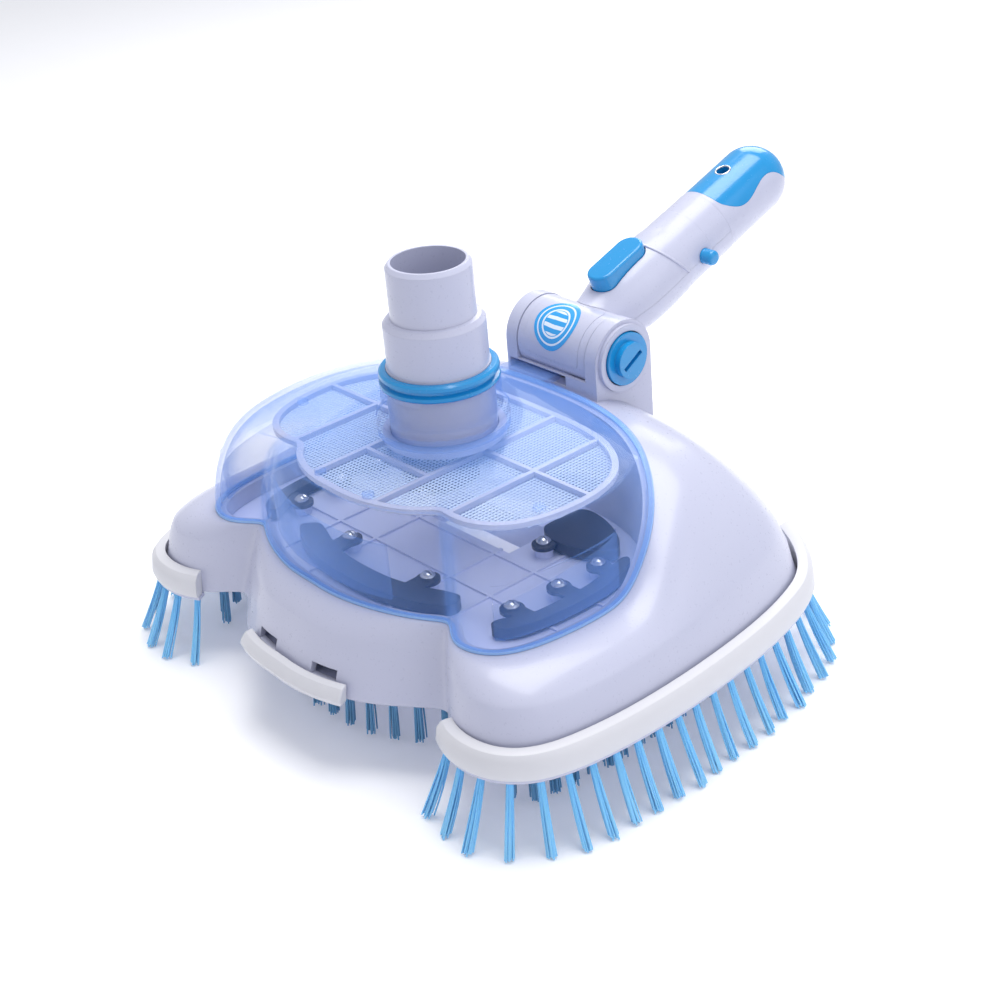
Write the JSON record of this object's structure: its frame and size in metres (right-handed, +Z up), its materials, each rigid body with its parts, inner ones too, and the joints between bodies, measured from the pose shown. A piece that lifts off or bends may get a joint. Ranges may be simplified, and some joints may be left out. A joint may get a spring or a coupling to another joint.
{
  "type": "manual vacuum head",
  "caption": "Weighted pool vacuum head with clear debris lid, side brushes, swivel hose cuff and hinged pole handle.",
  "frame": {"origin": "on the floor, under the middle of the whole assembly", "axes": "+X to the right, +Y towards the handle, +Z up, along the hose cuff"},
  "size_m": [0.264, 0.2754, 0.163],
  "materials": {
    "white_abs": "glossy",
    "lavender_abs": "satin",
    "blue_plastic": "glossy",
    "clear_blue": "clear",
    "bristle_blue": "satin",
    "bristle_dark": "satin",
    "soft_seal": "satin",
    "weight_coat": "satin",
    "screw_steel": "polished",
    "mesh_nylon": "satin",
    "spring_steel": "brushed",
    "badge_film": "glossy"
  },
  "bodies": {
    "housing": {"top_shell": "white_abs", "lid_gasket": "soft_seal", "base_plate": "lavender_abs", "underside_frame": "lavender_abs", "right_bumper": "white_abs", "left_bumper": "white_abs", "front_bumper": "white_abs", "right_brush_backing": "white_abs", "left_brush_backing": "white_abs", "right_outer_bristles": "bristle_blue", "left_outer_bristles": "bristle_blue", "right_inner_backing": "lavender_abs", "left_inner_backing": "lavender_abs", "right_inner_bristles": "bristle_dark", "left_inner_bristles": "bristle_dark", "front_inner_backing": "lavender_abs", "front_inner_bristles": "bristle_dark", "front_weight": "weight_coat", "right_side_weight": "weight_coat", "left_side_weight": "weight_coat", "right_rear_weight": "weight_coat", "left_rear_weight": "weight_coat", "weight_screws": "screw_steel"},
    "lid": {"clear_lid": "clear_blue", "strainer_frame": "white_abs", "strainer_mesh": "mesh_nylon", "strainer_posts": "clear_blue", "swivel_ring": "blue_plastic"},
    "cuff": {"hose_cuff": "white_abs", "cuff_retainer": "white_abs"},
    "right_knob": {"right_hinge_knob": "blue_plastic"},
    "left_knob": {"left_hinge_knob": "blue_plastic"},
    "handle": {"hinge_drum": "white_abs", "hinge_badge": "badge_film", "handle_upper_shell": "white_abs", "handle_lower_shell": "white_abs", "handle_end_cap": "blue_plastic", "pin_spring": "spring_steel"},
    "button": {"release_button": "blue_plastic"},
    "right_pin": {"right_snap_pin": "blue_plastic"},
    "left_pin": {"left_snap_pin": "blue_plastic"}
  },
  "joints": [
    {"name": "lid_open", "type": "hinge", "parent": "housing", "child": "lid", "pos_m": [0, 0.00646, 0.0976], "axis": [-1, 0, 0], "range_deg": [0, 20]},
    {"name": "hose_swivel", "type": "hinge", "parent": "lid", "child": "cuff", "pos_m": [0, -0.04954, 0.11], "axis": [0, 0, 1], "continuous": true},
    {"name": "handle_tilt", "type": "hinge", "parent": "housing", "child": "handle", "pos_m": [0, 0.02046, 0.107], "axis": [1, 0, 0], "range_deg": [-19, 70]},
    {"name": "right_knob_turn", "type": "hinge", "parent": "housing", "child": "right_knob", "pos_m": [0.028, 0.02046, 0.107], "axis": [1, 0, 0], "range_deg": [0, 360]},
    {"name": "left_knob_turn", "type": "hinge", "parent": "housing", "child": "left_knob", "pos_m": [-0.028, 0.02046, 0.107], "axis": [-1, 0, 0], "range_deg": [0, 360]},
    {"name": "button_press", "type": "slide", "parent": "handle", "child": "button", "axis": [0, 0.3338, -0.9426], "range_m": [0, 0.003], "stiffness_N_per_m": 900, "springref_m": -0.001},
    {"name": "right_pin_slide", "type": "slide", "parent": "handle", "child": "right_pin", "axis": [-1, 0, 0], "range_m": [0, 0.0057], "stiffness_N_per_m": 400, "springref_m": -0.001},
    {"name": "left_pin_slide", "type": "slide", "parent": "handle", "child": "left_pin", "axis": [1, 0, 0], "range_m": [0, 0.0057], "stiffness_N_per_m": 400, "springref_m": -0.001}
  ],
  "couplings": [
    {"joint": "right_pin_slide", "follows": "button_press", "ratio": 1.9},
    {"joint": "left_pin_slide", "follows": "button_press", "ratio": 1.9}
  ]
}
